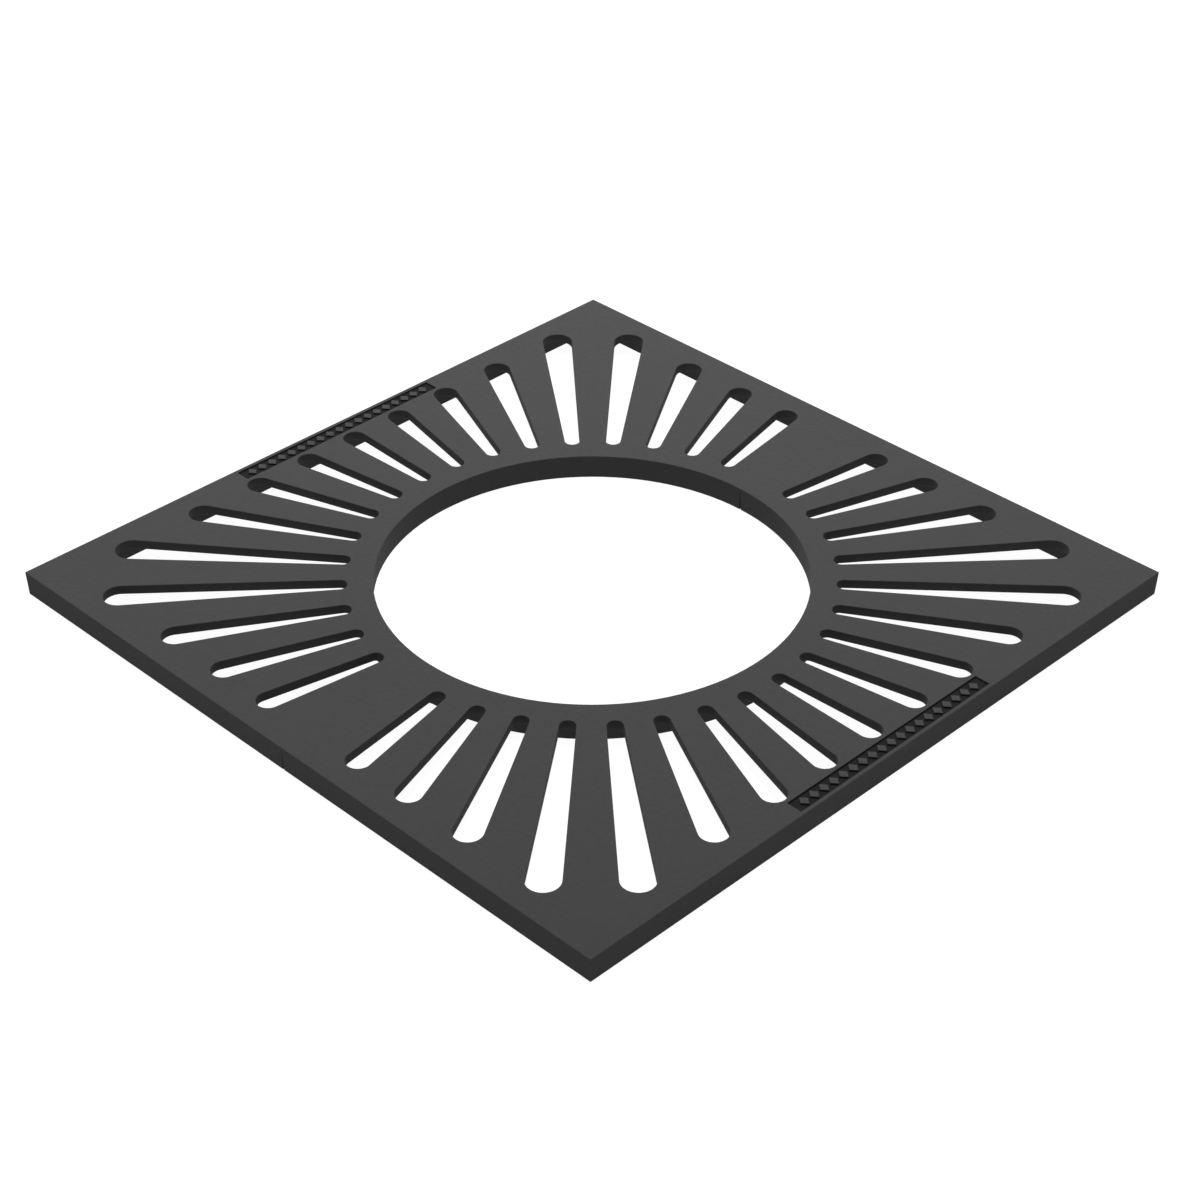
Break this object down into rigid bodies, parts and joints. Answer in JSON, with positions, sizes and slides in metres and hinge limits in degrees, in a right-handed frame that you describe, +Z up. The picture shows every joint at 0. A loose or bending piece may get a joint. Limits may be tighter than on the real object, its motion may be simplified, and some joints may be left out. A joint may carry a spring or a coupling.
{
  "type": "cast iron tree grate",
  "caption": "Square cast-iron tree grate in two bolted halves, with slots fanning out from a round trunk opening.",
  "frame": {"origin": "centre of the trunk opening, on the underside that rests in its seat", "axes": "+Z up through the trunk opening; the seam between the halves lies along Y; +X towards the half that carries the nuts"},
  "size_m": [1.2, 1.2, 0.04],
  "materials": {
    "casting": "dark uncoated cast iron with a fine sand-cast grain, satin",
    "fastener": "dull zinc-coated steel"
  },
  "bodies": {
    "left_half": {"left_half_grate": "casting", "bolt_front_outer": "fastener", "bolt_front_inner": "fastener", "bolt_back_inner": "fastener", "bolt_back_outer": "fastener"},
    "right_half": {"right_half_grate": "casting", "washer_front_outer": "fastener", "washer_front_inner": "fastener", "washer_back_inner": "fastener", "washer_back_outer": "fastener", "nut_front_outer": "fastener", "nut_front_inner": "fastener", "nut_back_inner": "fastener", "nut_back_outer": "fastener"}
  },
  "joints": [
    {"name": "part_halves", "type": "slide", "parent": "left_half", "child": "right_half", "axis": [1, 0, 0], "range_m": [0, 0.35]}
  ]
}
